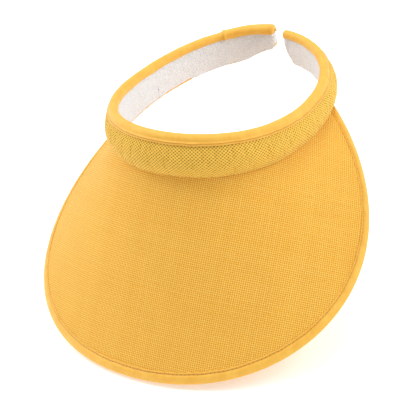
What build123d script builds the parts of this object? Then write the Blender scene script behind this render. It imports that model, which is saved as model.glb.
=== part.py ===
from build123d import *

import math
import os

# Sun visor with a sprung, padded head ring and a wide brim. Millimetres and degrees.
# The wearer faces -Y and +Z is up, so +X is the wearer's left. The origin is the centre of the head
# opening, at half the height of the band. Angle t runs round the ring: 0 at the front, 90 at the
# wearer's left, 180 at the back.

# Head ring, in plan at the middle of its rolled top edge.
OVAL_RADIUS = 79.0
OVAL_WAVES = (-0.088, 0.078, -0.020)  # shares of cos t, cos 2t and cos 3t: blunt front, long back
LEFT_LEAN_START = 115.0  # from here the left arm is bent in a little further than the right one
LEFT_LEAN = (-2.2, -2.9)  # how far its end has moved
SADDLE_RISE = 6.2  # the top edge is higher at the front and back than at the sides
SADDLE_REACH = 77.0
CREST_Z = 15.0

# Band section: depths are below the crest, offsets are outward from the ring's line.
BAND_HEIGHT = (31.8, 29.7, 27.7)  # front, side, back
BAND_FLARE = (0.067, -0.080, 0.087)  # outward lean per depth: front, side, back
BULGE = 5.0  # how far the padding swells the outer fabric
SWELL_TOP = 4.4  # depth at which the swell begins
FABRIC_FACE = 2.7  # offset of the outer fabric's face at its top and bottom
OUTER_FABRIC = 0.8
CORE_INNER, CORE_OUTER = -1.55, -0.55
FOAM_INNER, FOAM_FACE = -0.4, 1.3
TERRY_INNER, TERRY_OUTER = -2.8, -1.8
TERRY_SWELL = 0.9
FRONT_TERRY_MARGIN = 1.5  # the terry stops this far above the brim seam
LAYER_TOP = 3.1  # where the outer fabric and the terry end inside the binding
FILLING_TOP = 1.9  # where the core and the foam end inside it
FILLING_MARGIN = 3.2  # and how far they stay above the lower edge
FILLING_END_T = 1.0  # and how far they stop before an arm's end, in degrees
HEM_GAP = 0.2  # between the turned-under outer fabric and the terry
END_WALL_GAP = 0.15  # degrees
SEAM_CLEARANCE = 0.3

# Rolled binding on the top edge.
BEAD_RADIUS = 3.5
TOP_TAPE = 0.55
BINDING_OUT_DEPTH, BINDING_IN_DEPTH = 6.4, 5.6
BINDING_FLARE = 1.75  # the outer leg leans out over the swollen fabric

# Joints: each arm turns about an upright line outside the band.
HINGE_T = 134.0
SPLIT_GAP = 0.4  # degrees of t between the front and an arm
ARM_END_T = 175.5
END_TAPER = {1: 0.0, -1: 8.5}  # how much each arm narrows towards its end, from below
END_TAPER_LENGTH = 30.0
END_CORNERS = {1: (7.0, 16.0, 1.5), -1: (3.2, 4.5, 2.0)}  # rounded lower corners: length, height, power
END_WALL = 0.8  # thickness of the fabric turned in over an arm's end
NOSE = 2.4  # length of the binding's rounded end
NOSE_SHRINK = 0.9  # lost share of the rounded end's squared radius, at its tip

# Brim: straight lines run down and out from the seam.
BRIM_FRONT_WIDTH = 147.0
BRIM_TIP_T = 141.5  # where the edge curve would meet the seam
BRIM_END_T = 131.5  # where the brim is cut and tucked in
BRIM_POWERS = (2.61, 2.0)
BRIM_SLOPE = (61.0, -49.0, 9.5)  # below level at the front, and its square and fourth-power change
SEAM_OFFSET = 0.7
SEAM_BEND = 2.0
ALLOWANCE = 8.0  # height of the fabric turned up inside the band
BRIM_CORE_HALF = 0.45
BRIM_FABRIC_IN, BRIM_FABRIC_OUT = 0.5, 1.1
EDGE_TAPE_IN, EDGE_TAPE_OUT = 1.15, 1.6
EDGE_BINDING = 8.6
EDGE_BINDING_SHARE = 0.65  # the most of the brim's width that it covers
EDGE_MARGIN = 1.75  # the layers stop this far inside the bound edge
BRIM_CORE_END_T = 124.0
EDGE_THREAD_END_T = 125.0

# The top binding's second turn, from where its tape laps over itself to the right arm's end.
OVERLAP_T = (-148.5, -175.0)

# Sewing thread.
THREAD = 0.3
THREAD_INSET = 1.5  # from the fold of the tape
THREAD_GAP = 0.06

FRONT_FABRIC_MARGIN = 1.1  # the band's outer fabric stops this far above the brim seam
ALLOWANCE_GAP = 2.6  # between the foam and the top of the turned-up fabric, on a line down the band
FOLD = 2.2  # radius of the outer fabric's fold under an arm
STEP_T = 6.0  # spacing of the sections round the ring
ARM_STEP_T = 2.0
END_STEPS = (5.0, 3.6, 2.6, 1.8, 1.2, 0.75, 0.4, 0.15, 0.0)  # degrees from the end of an arm


def between(front, side, back, t):
    """A size that passes through its front, side and back values round the ring."""
    k = math.cos(math.radians(t))
    return side + (front - back) / 2 * k + ((front + back) / 2 - side) * k * k


def oval_radius(t):
    angle = math.radians(t)
    waves = sum(share * math.cos((i + 1) * angle) for i, share in enumerate(OVAL_WAVES))
    return OVAL_RADIUS * (1 + waves)


def oval(t):
    angle = math.radians(t)
    return oval_radius(t) * math.sin(angle), -oval_radius(t) * math.cos(angle)


OVAL_SHIFT = (oval(180)[1] + oval(0)[1]) / 2  # puts the middle of the opening on the origin


def plan(t):
    x, y = oval(t)
    lean = max(0.0, (t - LEFT_LEAN_START) / (ARM_END_T - LEFT_LEAN_START)) ** 2
    return x + lean * LEFT_LEAN[0], y + lean * LEFT_LEAN[1] - OVAL_SHIFT


def outward(t):
    """The level direction square to the ring, away from the head."""
    (x0, y0), (x1, y1) = plan(t - 0.5), plan(t + 0.5)
    length = math.hypot(x1 - x0, y1 - y0)
    return (y1 - y0) / length, (x0 - x1) / length


def crest(t):
    return CREST_Z + SADDLE_RISE * ((oval(t)[1] / SADDLE_REACH) ** 2 - 0.5)


def at(t, out, depth):
    """The place at angle t that is out from the ring's line and depth below its crest."""
    x, y = plan(t)
    nx, ny = outward(t)
    reach = out + between(*BAND_FLARE, t) * min(depth, between(*BAND_HEIGHT, t))
    return (x + nx * reach, y + ny * reach, crest(t) - depth)


def band_bottom(t):
    """Depth of the band's lower edge, where an arm may taper and has a rounded corner."""
    side = 1 if t > 0 else -1
    length, height, power = END_CORNERS[side]
    distance = max(0.0, end_distance(t))
    narrowing = max(0.0, 1 - distance / END_TAPER_LENGTH)
    taper = END_TAPER[side] * narrowing**2 * (3 - 2 * narrowing)
    left = max(0.0, 1 - distance / length)
    corner = height * (1 - (1 - left**power) ** (1 / power))
    return between(*BAND_HEIGHT, t) - taper - corner


def end_distance(t):
    return math.radians(ARM_END_T - abs(t)) * oval_radius(ARM_END_T)


def swell(t, depth):
    """How far the padding pushes the outer fabric out at this depth: a round arch from its top
    to the band's full height."""
    chord = between(*BAND_HEIGHT, t) - SWELL_TOP
    radius = (chord**2 / 4 + BULGE**2) / (2 * BULGE)
    middle = depth - SWELL_TOP - chord / 2
    return max(0.0, math.sqrt(max(0.0, radius**2 - middle**2)) - (radius - BULGE))


def steps(start, end, count):
    return [start + (end - start) * i / count for i in range(count + 1)]


def section(t, legs):
    """A closed wire at angle t. Each leg ends where the next begins: (end,) is straight and
    (middle, end) is an arc; the first leg starts where the last one ends."""
    edges = []
    here = Vector(*at(t, *legs[-1][-1]))
    for leg in legs:
        points = [Vector(*at(t, *point)) for point in leg]
        if len(points) == 1:
            edges.append(Edge.make_line(here, points[0]))
        else:
            edges.append(Edge.make_three_point_arc(here, *points))
        here = points[-1]
    return Wire(edges)


def solid(start, end, legs):
    """The solid through the sections from start to end, where legs(t) gives each outline."""
    return Solid.make_loft([section(t, legs(t)) for t in stations(start, end)])


def stations(start, end):
    """Angles from start to end, closer together along an arm, and most at its rounded corner."""
    length = abs(end - start)
    if abs(end) < HINGE_T or length < 2 * END_STEPS[0]:
        return steps(start, end, max(3, round(length / STEP_T)))
    side = 1 if end > 0 else -1
    straight = steps(start, end - side * END_STEPS[0], round(length / ARM_STEP_T))
    return straight + [end - side * step for step in END_STEPS[1:]]


def swollen(t, offset, first, last):
    """A leg along the padded side, swelling as the outer fabric does, between two depths."""
    return tuple((offset + swell(t, depth), depth) for depth in ((first + last) / 2, last))


def spring_core(start, end):
    def legs(t):
        bottom = band_bottom(t) - FILLING_MARGIN
        return [
            ((CORE_OUTER, FILLING_TOP),),
            ((CORE_OUTER, bottom),),
            ((CORE_INNER, bottom),),
            ((CORE_INNER, FILLING_TOP),),
        ]

    return solid(start, end, legs)


def foam_pad(start, end, margin):
    def legs(t):
        bottom = band_bottom(t) - margin
        return [
            ((FOAM_FACE, FILLING_TOP),),
            ((FOAM_FACE, SWELL_TOP),),
            swollen(t, FOAM_FACE, SWELL_TOP, bottom),
            ((FOAM_INNER, bottom),),
            ((FOAM_INNER, FILLING_TOP),),
        ]

    return solid(start, end, legs)


def front_fabric(start, end):
    """The band's outer fabric above the brim."""
    inner = FABRIC_FACE - OUTER_FABRIC

    def legs(t):
        bottom = band_bottom(t) - FRONT_FABRIC_MARGIN
        return [
            ((FABRIC_FACE, LAYER_TOP),),
            ((FABRIC_FACE, SWELL_TOP),),
            swollen(t, FABRIC_FACE, SWELL_TOP, bottom),
            ((inner + swell(t, bottom), bottom),),
            swollen(t, inner, bottom, SWELL_TOP),
            ((inner, LAYER_TOP),),
        ]

    return solid(start, end, legs)


def arm_fabric(start, end):
    """The outer fabric of an arm, folded under its lower edge as far as the terry."""
    inner = FABRIC_FACE - OUTER_FABRIC
    fold_in = FOLD - OUTER_FABRIC
    bend = math.sqrt(0.5)

    def legs(t):
        bottom = band_bottom(t)
        fold_depth = bottom - FOLD
        centre = FABRIC_FACE + swell(t, fold_depth) - FOLD
        hem = TERRY_OUTER + HEM_GAP
        return [
            ((FABRIC_FACE, LAYER_TOP),),
            ((FABRIC_FACE, SWELL_TOP),),
            swollen(t, FABRIC_FACE, SWELL_TOP, fold_depth),
            ((centre + FOLD * bend, fold_depth + FOLD * bend), (centre, bottom)),
            ((hem, bottom),),
            ((hem, bottom - OUTER_FABRIC),),
            ((centre, bottom - OUTER_FABRIC),),
            ((centre + fold_in * bend, fold_depth + fold_in * bend), (centre + fold_in, fold_depth)),
            swollen(t, inner, fold_depth, SWELL_TOP),
            ((inner, LAYER_TOP),),
        ]

    return solid(start, end, legs)


def end_wall(side):
    """The fabric turned in over the end of an arm, from the binding down to the cut corner."""
    start = side * (ARM_END_T + END_WALL_GAP)
    end = start + side * math.degrees(END_WALL / oval_radius(ARM_END_T))
    bottom = band_bottom(side * ARM_END_T) - FOLD

    def legs(t):
        return [
            ((FABRIC_FACE + swell(t, BINDING_OUT_DEPTH), BINDING_OUT_DEPTH),),
            swollen(t, FABRIC_FACE, BINDING_OUT_DEPTH, bottom),
            ((TERRY_OUTER, bottom),),
            ((TERRY_OUTER, BINDING_OUT_DEPTH),),
        ]

    return solid(start, end, legs)


def terry(start, end, margin):
    def legs(t):
        bottom = band_bottom(t) - margin
        middle = (BINDING_IN_DEPTH + bottom) / 2
        return [
            ((TERRY_OUTER, bottom),),
            ((TERRY_INNER, bottom),),
            ((TERRY_INNER - TERRY_SWELL, middle), (TERRY_INNER, BINDING_IN_DEPTH)),
            ((TERRY_INNER, LAYER_TOP),),
            ((TERRY_OUTER, LAYER_TOP),),
        ]

    return solid(start, end, legs)


def top_binding(start, end, rise=0.0):
    """The tape rolled over the top edge, with a rounded nose past an arm's end; rise lays it
    over another turn."""

    def legs(t):
        past = max(0.0, -end_distance(t)) / NOSE
        shrink = math.sqrt(1 - NOSE_SHRINK * past**2)
        inner = (BEAD_RADIUS - TOP_TAPE + rise) * shrink
        outer = (BEAD_RADIUS + rise) * shrink
        crown = BEAD_RADIUS
        flare = BINDING_FLARE * shrink
        return [
            ((outer, crown),),
            ((0.0, crown - outer), (-outer, crown)),
            ((-outer, BINDING_IN_DEPTH),),
            ((-inner, BINDING_IN_DEPTH),),
            ((-inner, crown),),
            ((0.0, crown - inner), (inner, crown)),
            ((inner + flare, BINDING_OUT_DEPTH),),
            ((outer + flare, BINDING_OUT_DEPTH),),
        ]

    return solid(start, end, legs)


def slope(t):
    u = t / BRIM_TIP_T
    return BRIM_SLOPE[0] + BRIM_SLOPE[1] * u**2 + BRIM_SLOPE[2] * u**4


def brim_width(t):
    u = abs(t) / BRIM_TIP_T
    return BRIM_FRONT_WIDTH * (1 - u ** BRIM_POWERS[0]) ** BRIM_POWERS[1]


def seam_start(t):
    """Width at which the brim's bend has ended and its straight part begins."""
    return SEAM_BEND * math.tan(math.radians(90 - slope(t)) / 2)


def brim_offset(t, width, lift):
    """Offset and depth on the straight part of the brim, lift square to it."""
    turn = math.radians(90 - slope(t))
    out = SEAM_OFFSET + width * math.sin(turn) + lift * math.cos(turn)
    return out, between(*BAND_HEIGHT, t) + width * math.cos(turn) - lift * math.sin(turn)


def brim_sheet(low, high, allowance, edge, end=BRIM_END_T):
    """A brim layer between two lifts. With an allowance it goes up inside the band: the section
    is straight there, then an arc round the bend, then straight along the brim."""

    def legs(t):
        far = brim_width(t) - edge
        near = seam_start(t)
        turn = math.radians(90 - slope(t))
        if not allowance:
            near += SEAM_CLEARANCE
            corners = [(near, high), (far, high), (far, low), (near, low)]
            return [(brim_offset(t, *corner),) for corner in corners]
        bend_depth = between(*BAND_HEIGHT, t) - near
        upper = [(SEAM_OFFSET + lift, bend_depth - ALLOWANCE) for lift in (low, high)]
        return [
            (upper[1],),
            (bend_place(t, high, 0.0),),
            (bend_place(t, high, turn / 2), bend_place(t, high, turn)),
            (brim_offset(t, far, high),),
            (brim_offset(t, far, low),),
            (bend_place(t, low, turn),),
            (bend_place(t, low, turn / 2), bend_place(t, low, 0.0)),
            (upper[0],),
        ]

    return solid(-end, end, legs)


def bend_place(t, lift, angle):
    """Offset and depth on the bend at the seam, angle round from the upright."""
    bend = SEAM_BEND - lift
    depth = between(*BAND_HEIGHT, t) - seam_start(t)
    return SEAM_OFFSET + SEAM_BEND - bend * math.cos(angle), depth + bend * math.sin(angle)


def edge_binding():
    """Tape folded round the brim's outer edge."""

    def legs(t):
        centre = brim_width(t) - EDGE_TAPE_OUT
        reach = binding_start(t)
        outer, inner = EDGE_TAPE_OUT, EDGE_TAPE_IN
        return [
            (brim_offset(t, reach, outer),),
            (brim_offset(t, centre, outer),),
            (brim_offset(t, centre + outer, 0.0), brim_offset(t, centre, -outer)),
            (brim_offset(t, reach, -outer),),
            (brim_offset(t, reach, -inner),),
            (brim_offset(t, centre, -inner),),
            (brim_offset(t, centre + inner, 0.0), brim_offset(t, centre, inner)),
            (brim_offset(t, reach, inner),),
        ]

    return solid(-BRIM_END_T, BRIM_END_T, legs)


def binding_start(t):
    """Width at which the edge tape begins; it narrows where the brim does."""
    width = brim_width(t)
    return max(width - EDGE_BINDING, width * (1 - EDGE_BINDING_SHARE), seam_start(t) + SEAM_CLEARANCE)


def binding_thread(start, end, rise=0.0):
    """A row of sewing thread along the outside of the top binding."""
    upper = BINDING_OUT_DEPTH - THREAD_INSET
    lean = BINDING_FLARE / (BINDING_OUT_DEPTH - BEAD_RADIUS)

    def place(lift, depth):
        return (BEAD_RADIUS + lean * (depth - BEAD_RADIUS) + THREAD_GAP + rise + lift, depth)

    lower = upper + THREAD
    corners = [place(0, upper), place(THREAD, upper), place(THREAD, lower), place(0, lower)]
    return solid(start, end, lambda t: [(corner,) for corner in corners])


def edge_thread(side):
    """The row of thread on one face of the brim's edge tape: side is 1 above and -1 below."""

    def legs(t):
        near = binding_start(t) + THREAD_INSET
        low = side * (EDGE_TAPE_OUT + THREAD_GAP)
        high = low + side * THREAD
        corners = [(near, low), (near + THREAD, low), (near + THREAD, high), (near, high)]
        return [(brim_offset(t, *corner),) for corner in corners]

    return solid(-EDGE_THREAD_END_T, EDGE_THREAD_END_T, legs)


def write(name, shape):
    export_step(shape, f"parts/{name}.step")


os.makedirs("parts", exist_ok=True)

FRONT_T = HINGE_T - SPLIT_GAP / 2

write("brim_core", brim_sheet(-BRIM_CORE_HALF, BRIM_CORE_HALF, False, EDGE_MARGIN, BRIM_CORE_END_T))
write("brim_top_fabric", brim_sheet(BRIM_FABRIC_IN, BRIM_FABRIC_OUT, True, EDGE_MARGIN))
write("brim_under_fabric", brim_sheet(-BRIM_FABRIC_OUT, -BRIM_FABRIC_IN, True, EDGE_MARGIN))
write("brim_edge_binding", edge_binding())
write("brim_edge_thread", Compound([edge_thread(1), edge_thread(-1)]))
write("front_spring_core", spring_core(-FRONT_T, FRONT_T))
write("front_foam_pad", foam_pad(-FRONT_T, FRONT_T, ALLOWANCE + ALLOWANCE_GAP))
write("front_outer_fabric", front_fabric(-FRONT_T, FRONT_T))
write("front_terry_sweatband", terry(-FRONT_T, FRONT_T, FRONT_TERRY_MARGIN))
write("front_top_binding", top_binding(-FRONT_T, FRONT_T))
write("front_binding_thread", binding_thread(-FRONT_T, FRONT_T))

for name, side in (("left", 1), ("right", -1)):
    first = side * (HINGE_T + SPLIT_GAP / 2)
    last = side * ARM_END_T
    nose_end = last + side * math.degrees(NOSE / oval_radius(ARM_END_T))
    filling_end = last - side * FILLING_END_T
    write(f"{name}_spring_core", spring_core(first, filling_end))
    write(f"{name}_foam_pad", foam_pad(first, filling_end, FILLING_MARGIN))
    write(f"{name}_outer_fabric", arm_fabric(first, last))
    write(f"{name}_end_facing", end_wall(side))
    write(f"{name}_terry_sweatband", terry(first, last, 0.0))
    write(f"{name}_top_binding", top_binding(first, nose_end))

overlap_rise = TOP_TAPE + THREAD_GAP
write("right_binding_overlap", top_binding(*OVERLAP_T, overlap_rise))
write("left_binding_thread", binding_thread(HINGE_T + SPLIT_GAP / 2, ARM_END_T))
right_threads = [
    binding_thread(-HINGE_T - SPLIT_GAP / 2, OVERLAP_T[0] + SPLIT_GAP),
    binding_thread(*OVERLAP_T, overlap_rise),
]
write("right_binding_thread", Compound(right_threads))
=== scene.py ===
import math

import bmesh
import bpy
import numpy as np
from mathutils import Matrix, Vector


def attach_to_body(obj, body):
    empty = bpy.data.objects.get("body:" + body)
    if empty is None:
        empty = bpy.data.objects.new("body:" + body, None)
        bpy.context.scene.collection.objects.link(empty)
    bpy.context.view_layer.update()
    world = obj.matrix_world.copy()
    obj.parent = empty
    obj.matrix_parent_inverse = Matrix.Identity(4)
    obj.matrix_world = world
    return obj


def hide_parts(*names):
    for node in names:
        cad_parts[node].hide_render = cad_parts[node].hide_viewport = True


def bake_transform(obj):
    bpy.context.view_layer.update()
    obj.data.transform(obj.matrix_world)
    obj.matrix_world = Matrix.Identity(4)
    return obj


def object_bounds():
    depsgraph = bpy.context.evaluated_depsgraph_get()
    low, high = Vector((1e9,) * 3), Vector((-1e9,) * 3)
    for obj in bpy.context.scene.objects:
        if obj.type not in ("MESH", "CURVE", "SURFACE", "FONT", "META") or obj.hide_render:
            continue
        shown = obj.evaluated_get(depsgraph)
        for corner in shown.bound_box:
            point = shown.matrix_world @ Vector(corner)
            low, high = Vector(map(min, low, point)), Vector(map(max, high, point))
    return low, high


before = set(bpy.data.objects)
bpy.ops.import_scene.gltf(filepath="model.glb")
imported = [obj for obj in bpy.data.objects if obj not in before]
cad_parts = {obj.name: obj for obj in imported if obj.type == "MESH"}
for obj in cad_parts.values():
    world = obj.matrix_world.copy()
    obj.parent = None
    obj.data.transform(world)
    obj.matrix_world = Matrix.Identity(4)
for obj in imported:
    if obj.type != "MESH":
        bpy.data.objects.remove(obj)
CAD_BOX = [list(corner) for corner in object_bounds()]
MM = 0.001

# ---------------------------------------------------------------- the part's dimensions, in mm
OVAL_RADIUS = 79.0
OVAL_WAVES = (-0.088, 0.078, -0.020)
LEFT_LEAN_START, LEFT_LEAN = 115.0, (-2.2, -2.9)
SADDLE_RISE, SADDLE_REACH, CREST_Z = 6.2, 77.0, 15.0
BAND_HEIGHT = (31.8, 29.7, 27.7)
BAND_FLARE = (0.067, -0.080, 0.087)
BULGE, SWELL_TOP, FABRIC_FACE, CLOTH = 5.0, 4.4, 2.7, 0.6
CORE_INNER, CORE_OUTER = -1.55, -0.55
FOAM_INNER, FOAM_OUTER = -0.4, 1.3
TERRY_INNER, TERRY_OUTER, TERRY_SWELL = -2.8, -1.8, 0.9
FRONT_TERRY_MARGIN = 1.5
LAYER_TOP, FILLING_TOP, FILLING_MARGIN = 3.1, 1.9, 3.2
BEAD_RADIUS, TOP_TAPE, TAPE_FLARE = 3.5, 0.55, 1.75
OUT_DEPTH, IN_DEPTH = 6.4, 5.6
ARM_END_T = 175.5
END_TAPER, END_TAPER_LENGTH = {1: 0.0, -1: 8.5}, 30.0
END_CORNERS = {1: (7.0, 16.0, 1.5), -1: (3.2, 4.5, 2.0)}
BRIM_FRONT_WIDTH, BRIM_TIP_T, BRIM_END_T = 147.0, 141.5, 131.5
BRIM_POWERS = (2.61, 2.0)
BRIM_SLOPE = (61.0, -49.0, 9.5)
SEAM_OFFSET, SEAM_BEND, ALLOWANCE = 0.7, 2.0, 8.0
BRIM_IN, BRIM_OUT = 0.5, 1.1
TAPE_IN, TAPE_OUT, EDGE_BINDING, EDGE_MARGIN = 1.15, 1.6, 8.6, 1.75
OVERLAP_T = (-149.8, -175.0)
SPLIT_T = 104.0  # the ring's pieces are in three lengths, which meet here
BLEND_T = (118.0, 150.0)  # and two angles on the side ones, which blended reads but does not use


def between(values, t):
    front, side, back = values
    k = np.cos(np.radians(t))
    return side + (front - back) / 2 * k + ((front + back) / 2 - side) * k * k


def oval(t):
    a = np.radians(t)
    r = OVAL_RADIUS * (1 + sum(w * np.cos((i + 1) * a) for i, w in enumerate(OVAL_WAVES)))
    return r * np.sin(a), -r * np.cos(a)


OVAL_SHIFT = (oval(180.0)[1] + oval(0.0)[1]) / 2
END_RADIUS = math.hypot(*oval(ARM_END_T))


def plan(t):
    x, y = oval(t)
    lean = np.maximum(0.0, (t - LEFT_LEAN_START) / (ARM_END_T - LEFT_LEAN_START)) ** 2
    return x + lean * LEFT_LEAN[0], y + lean * LEFT_LEAN[1] - OVAL_SHIFT


def outward(t):
    (x0, y0), (x1, y1) = plan(t - 0.5), plan(t + 0.5)
    length = np.hypot(x1 - x0, y1 - y0)
    return (y1 - y0) / length, (x0 - x1) / length


def at(t, out, depth):
    """Places out from the ring's line and depth below its crest, as an array of points."""
    t, out, depth = np.broadcast_arrays(t, out, depth)
    x, y = plan(t)
    nx, ny = outward(t)
    reach = out + between(BAND_FLARE, t) * np.minimum(depth, between(BAND_HEIGHT, t))
    crest = CREST_Z + SADDLE_RISE * ((oval(t)[1] / SADDLE_REACH) ** 2 - 0.5)
    return np.stack([x + nx * reach, y + ny * reach, crest - depth], -1)


def end_distance(t):
    return np.radians(ARM_END_T - np.abs(t)) * END_RADIUS


def smooth(x):
    x = np.clip(x, 0, 1)
    return x * x * (3 - 2 * x)


def band_bottom(t, before=0.0):
    """Depth of the band's lower edge; with before, as if the arms ended that much sooner."""
    distance = np.maximum(0.0, end_distance(t) - before)

    def cut(side):
        length, height, power = END_CORNERS[side]
        left = np.maximum(0.0, 1 - distance / length)
        corner = height * (1 - (1 - left**power) ** (1 / power))
        return END_TAPER[side] * smooth(1 - distance / END_TAPER_LENGTH) + corner

    return between(BAND_HEIGHT, t) - np.where(t > 0, cut(1), cut(-1))


def swell(t, depth):
    chord = between(BAND_HEIGHT, t) - SWELL_TOP
    radius = (chord**2 / 4 + BULGE**2) / (2 * BULGE)
    middle = depth - SWELL_TOP - chord / 2
    return np.maximum(0, np.sqrt(np.maximum(0, radius**2 - middle**2)) - (radius - BULGE))


def brim_turn(t):
    u = t / BRIM_TIP_T
    return np.radians(90 - (BRIM_SLOPE[0] + BRIM_SLOPE[1] * u**2 + BRIM_SLOPE[2] * u**4))


def brim_width(t):
    return BRIM_FRONT_WIDTH * (1 - np.abs(t / BRIM_TIP_T) ** BRIM_POWERS[0]) ** BRIM_POWERS[1]


def seam_start(t):
    return SEAM_BEND * np.tan(brim_turn(t) / 2)


def brim_at(t, width, lift):
    turn = brim_turn(t)
    out = SEAM_OFFSET + width * np.sin(turn) + lift * np.cos(turn)
    return at(t, out, between(BAND_HEIGHT, t) + width * np.cos(turn) - lift * np.sin(turn))


def brim_bend(t, lift, share):
    angle = share * brim_turn(t)
    bend = SEAM_BEND - lift
    depth = between(BAND_HEIGHT, t) - seam_start(t)
    return at(t, SEAM_OFFSET + SEAM_BEND - bend * np.cos(angle), depth + bend * np.sin(angle))


def tape_start(t):
    w = brim_width(t)
    return np.maximum(np.maximum(w - EDGE_BINDING, 0.35 * w), seam_start(t) + 0.3)


# arc length round the ring, from the front
FINE_T = np.linspace(-180, 180, 3601)
_x, _y = plan(FINE_T)
ARC = np.concatenate([[0], np.cumsum(np.hypot(np.diff(_x), np.diff(_y)))])
ARC -= np.interp(0, FINE_T, ARC)


def arc(t):
    return np.interp(t, FINE_T, ARC)


def stations(first, last, spacing):
    count = max(2, round(abs(arc(last) - arc(first)) / spacing))
    return np.interp(np.linspace(arc(first), arc(last), count + 1), ARC, FINE_T)


NEAR_END, NEAR_END_GAP, NEAR_END_COUNT = 2.5, 0.1, 12  # two angles, and a number of stations


def with_nose(t):
    """The stations with more of them over the last of an arm, where shapes round off."""
    last = t[-1]
    kept = t[np.abs(last - t) > NEAR_END + NEAR_END_GAP]
    near = np.sign(kept[-1] - last) * NEAR_END * np.cos(np.linspace(0, np.pi / 2, NEAR_END_COUNT))
    return np.concatenate([kept, last + near])


def ripple(u, v, low, high, seed, count=14, stretch=1.0):
    """Smooth irregular waves of wavelengths from low to high, about -1 to 1."""
    rng = np.random.default_rng(seed)
    total = 0
    for _ in range(count):
        k = 2 * np.pi / rng.uniform(low, high)
        a, phase = rng.uniform(0, 2 * np.pi, 2)
        total = total + np.sin(k * (u * np.cos(a) / stretch + v * np.sin(a)) + phase)
    return total / math.sqrt(count)


# ---------------------------------------------------------------- meshes
def make_mesh(name, points, uv, closed, caps, material, flip=False):
    """A grid of points, n stations by k round the section, as a smooth mesh. A closed section's
    last column joins its first, and uv then has one column more."""
    n, k = points.shape[:2]
    i = np.arange(n - 1)[:, None]
    j = np.arange(k if closed else k - 1)[None, :]
    nxt = (j + 1) % k
    quads = np.stack([i * k + j, i * k + nxt, (i + 1) * k + nxt, (i + 1) * k + j], -1).reshape(-1, 4)
    corner_uv = np.stack([uv[i, j], uv[i, j + 1], uv[i + 1, j + 1], uv[i + 1, j]], 2).reshape(-1, 4, 2)
    if flip:
        quads, corner_uv = quads[:, ::-1], corner_uv[:, ::-1]
    faces = quads.tolist()
    uvs = corner_uv.reshape(-1, 2)
    for end in (caps if closed else ()):
        ring = np.arange(k) + (0 if end == 0 else (n - 1) * k)
        ring_uv = uv[0 if end == 0 else n - 1, :k]
        if (end == 0) == flip:
            ring, ring_uv = ring[::-1], ring_uv[::-1]
        faces.append(ring[::-1].tolist())
        uvs = np.concatenate([uvs, ring_uv[::-1]])
    data = bpy.data.meshes.new(name)
    data.from_pydata((points.reshape(-1, 3) * MM).tolist(), [], faces)
    layer = data.uv_layers.new(name="UVMap")
    layer.data.foreach_set("uv", uvs.astype(np.float32).ravel())
    data.polygons.foreach_set("use_smooth", np.ones(len(faces), bool))
    data.materials.append(material)
    data.update()
    obj = bpy.data.objects.new(name, data)
    bpy.context.scene.collection.objects.link(obj)
    return obj


def lengths(points):
    """Distance along each row of points, starting at 0."""
    step = np.linalg.norm(np.diff(points, axis=1), axis=2)
    return np.concatenate([np.zeros((len(points), 1)), np.cumsum(step, 1)], 1)


def normals(points):
    """Unit normals of a grid of points."""
    along, across = np.gradient(points, axis=0), np.gradient(points, axis=1)
    n = np.cross(across, along)
    return n / np.maximum(1e-9, np.linalg.norm(n, axis=2, keepdims=True))


SIDES = {"front": 0, "left": 1, "right": -1}


def attach(obj, side):
    """Rides the piece on the front's body; a side piece only has its transform baked into its mesh."""
    if side == 0:
        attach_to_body(obj, "visor_front")
    else:
        blended(obj, side)


def ring_pieces(label, section, material, node, spacing, end=ARM_END_T, extra=()):
    """A layer of the band in three lengths. section(t) gives the closed section's points and how
    they lie in the cloth."""
    made = []
    for name, side in SIDES.items():
        if side == 0:
            t = stations(-SPLIT_T, SPLIT_T, spacing)
        else:
            t = with_nose(stations(side * SPLIT_T, side * end, spacing))
        points, uv = section(t)
        ends = () if side == 0 else (1,)
        obj = make_mesh(f"{name}_{label}", points, uv, True, ends, material, flip=side < 0)
        attach(obj, side)
        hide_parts(f"{name}_{node}", *[f"{name}_{x}" for x in extra if side])
        made.append(obj)
    return made


def blended(obj, side):
    """Bakes the piece's placement into its mesh. It works out two points half-way down the band, at the
    BLEND_T angles, but does not use them: the piece is not bent or attached to a body.
    """
    start, stop = [(at(np.array(side * t), 0.0, 15.0) * MM).tolist() for t in BLEND_T]
    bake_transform(obj)


def loop_uv(t, points):
    """u round the ring and v round the section, in mm, with the closing column."""
    closed = np.concatenate([points, points[:, :1]], 1)
    return np.stack([np.repeat(arc(t)[:, None], closed.shape[1], 1), lengths(closed)], 2)


# ---------------------------------------------------------------- materials
def srgb(*values):
    return tuple(((v / 255 + 0.055) / 1.055) ** 2.4 for v in values) + (1.0,)


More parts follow.
